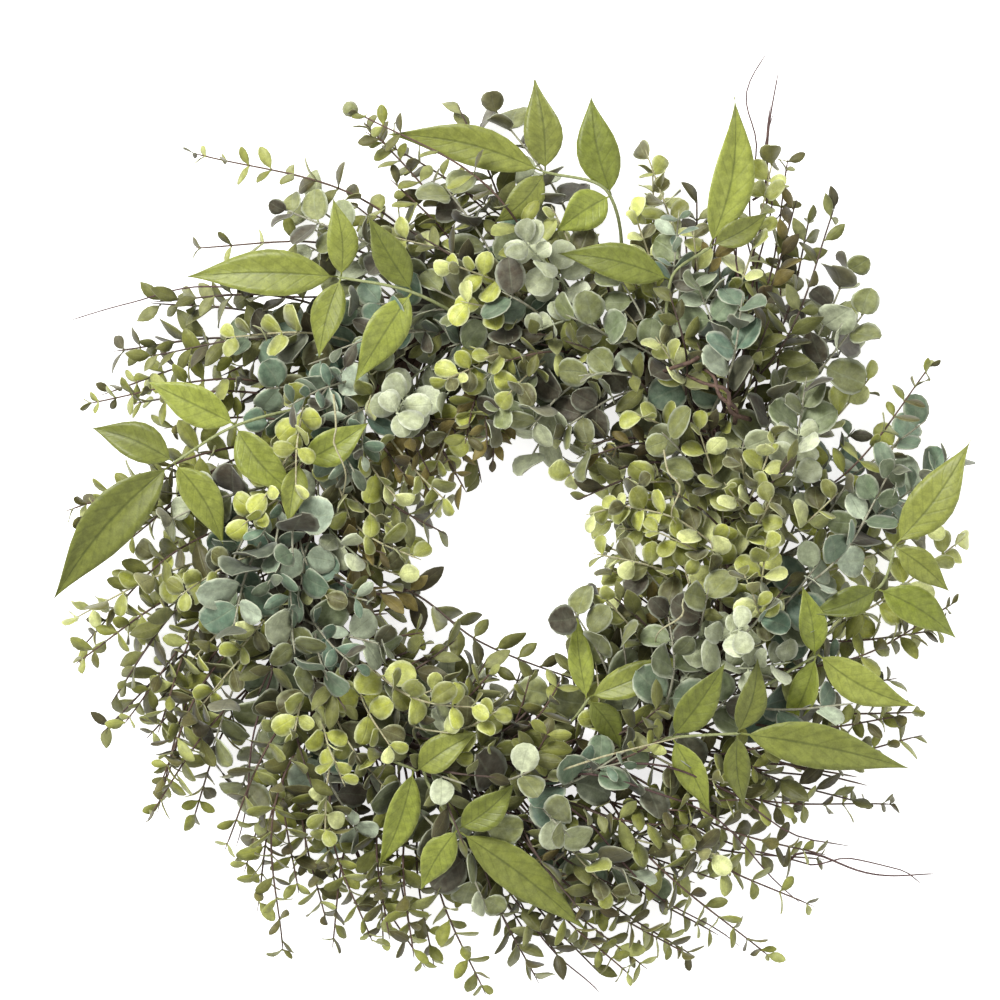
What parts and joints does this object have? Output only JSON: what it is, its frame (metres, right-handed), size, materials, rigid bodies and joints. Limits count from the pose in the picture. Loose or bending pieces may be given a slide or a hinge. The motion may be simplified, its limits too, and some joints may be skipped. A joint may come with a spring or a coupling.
{
  "type": "eucalyptus wreath",
  "caption": "Round leafy wreath that lies flat or hangs as decoration: eucalyptus sprays, laurel-like leaves and bare twigs tucked into a ring of twisted vine.",
  "frame": {"origin": "on the surface that the wreath lies on, under the middle of the whole wreath's box", "axes": "+Z out of the wreath's face, away from the surface under its back; +Y towards the top of the wreath as it hangs; +X towards the right as it is seen from the front"},
  "size_m": [0.6014, 0.6218, 0.1037],
  "materials": {
    "vine": "rough brown grapevine bark",
    "twig": "dull purple-brown bark",
    "laurel": "satin olive-green leaves with a paler midrib, on pale stems",
    "dollar": "matt grey-green round leaves with a powdery bloom",
    "baby": "matt yellow-green round leaves with pale rims",
    "frost": "powdery pale green leaves",
    "olive": "dark olive oval leaves",
    "willow": "olive-green narrow leaves on thin dark stems"
  },
  "bodies": {
    "root": {"vine": "vine", "tie": "vine", "laurel_1": "laurel", "laurel_2": "laurel", "laurel_3": "laurel", "laurel_4": "laurel", "laurel_5": "laurel", "laurel_6": "laurel", "laurel_7": "laurel", "laurel_8": "laurel", "laurel_9": "laurel", "laurel_10": "laurel", "laurel_11": "laurel", "willow_1": "willow", "willow_2": "willow", "willow_3": "willow", "willow_4": "willow", "willow_5": "willow", "willow_6": "willow", "willow_7": "willow", "willow_8": "willow", "willow_9": "willow", "willow_10": "willow", "willow_11": "willow", "willow_12": "willow", "willow_13": "willow", "olive_1": "olive", "olive_2": "olive", "olive_3": "olive", "olive_4": "olive", "dollar_1": "dollar", "dollar_2": "dollar", "dollar_3": "dollar", "dollar_4": "dollar", "dollar_5": "dollar", "dollar_6": "dollar", "dollar_7": "dollar", "dollar_8": "dollar", "dollar_9": "dollar", "dollar_10": "dollar", "dollar_11": "dollar", "dollar_12": "dollar", "dollar_13": "dollar", "dollar_14": "dollar", "baby_1": "baby", "baby_2": "baby", "baby_3": "baby", "baby_4": "baby", "baby_5": "baby", "baby_6": "baby", "baby_7": "baby", "baby_8": "baby", "baby_9": "baby", "frost_1": "frost", "frost_2": "frost", "frost_3": "frost", "twig_1": "twig", "twig_2": "twig", "twig_3": "twig", "twig_4": "twig"}
  },
  "joints": []
}
